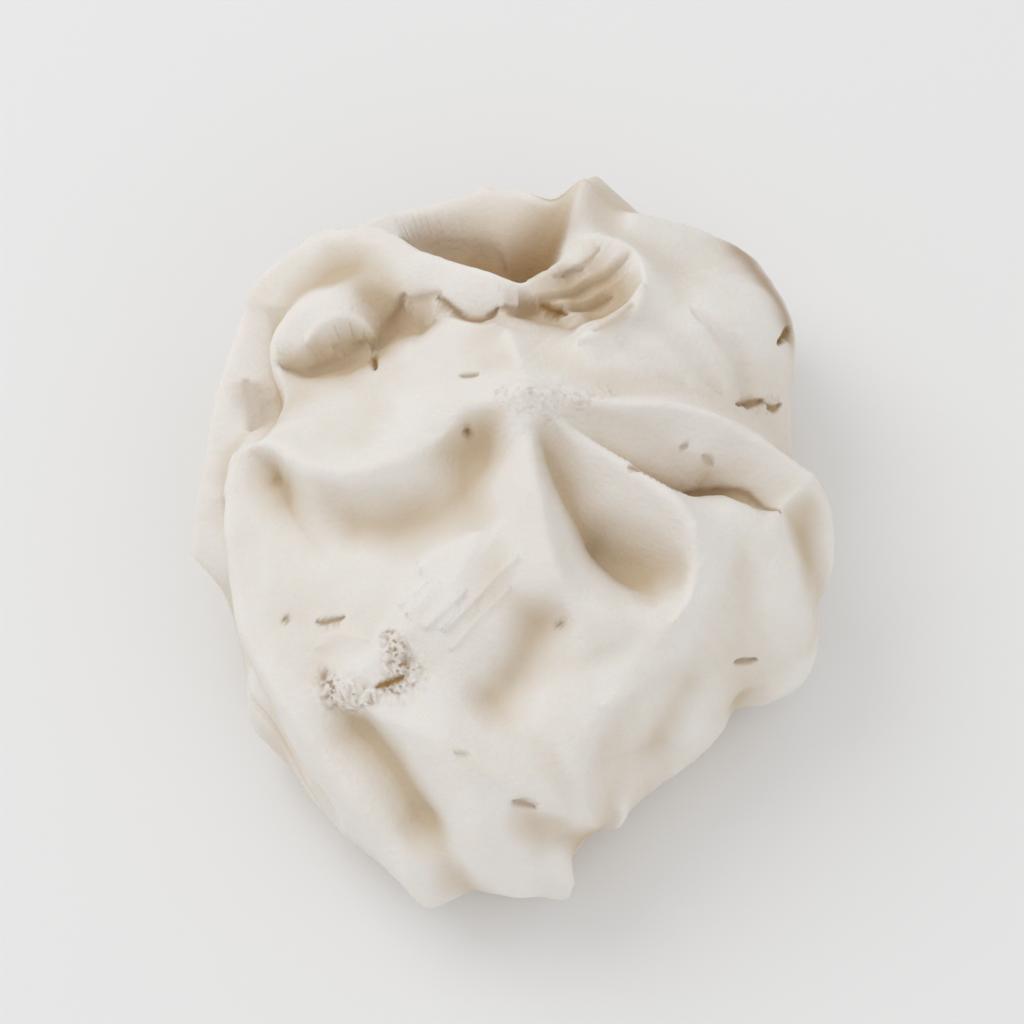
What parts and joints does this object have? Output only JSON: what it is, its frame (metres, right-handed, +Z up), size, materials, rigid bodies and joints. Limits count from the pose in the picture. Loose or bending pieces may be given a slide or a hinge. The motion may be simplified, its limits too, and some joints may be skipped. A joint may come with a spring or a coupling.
{
  "type": "meringue cookie",
  "caption": "Baked meringue cookie: a palm-sized dome of dried egg-white foam with piped crests, scooped hollows and folds, on a flat base.",
  "frame": {"origin": "middle of the bounding box, on the flat baked base at z = 0", "axes": "+Z up from the base through the peak, -Y towards the long front lobe, +X towards the right-hand crest"},
  "size_m": [0.0604, 0.071, 0.0352],
  "materials": {
    "meringue": "matt, dry, powdery baked egg-white foam, warm off-white and slightly translucent"
  },
  "bodies": {
    "root": {"meringue": "meringue"}
  },
  "joints": []
}
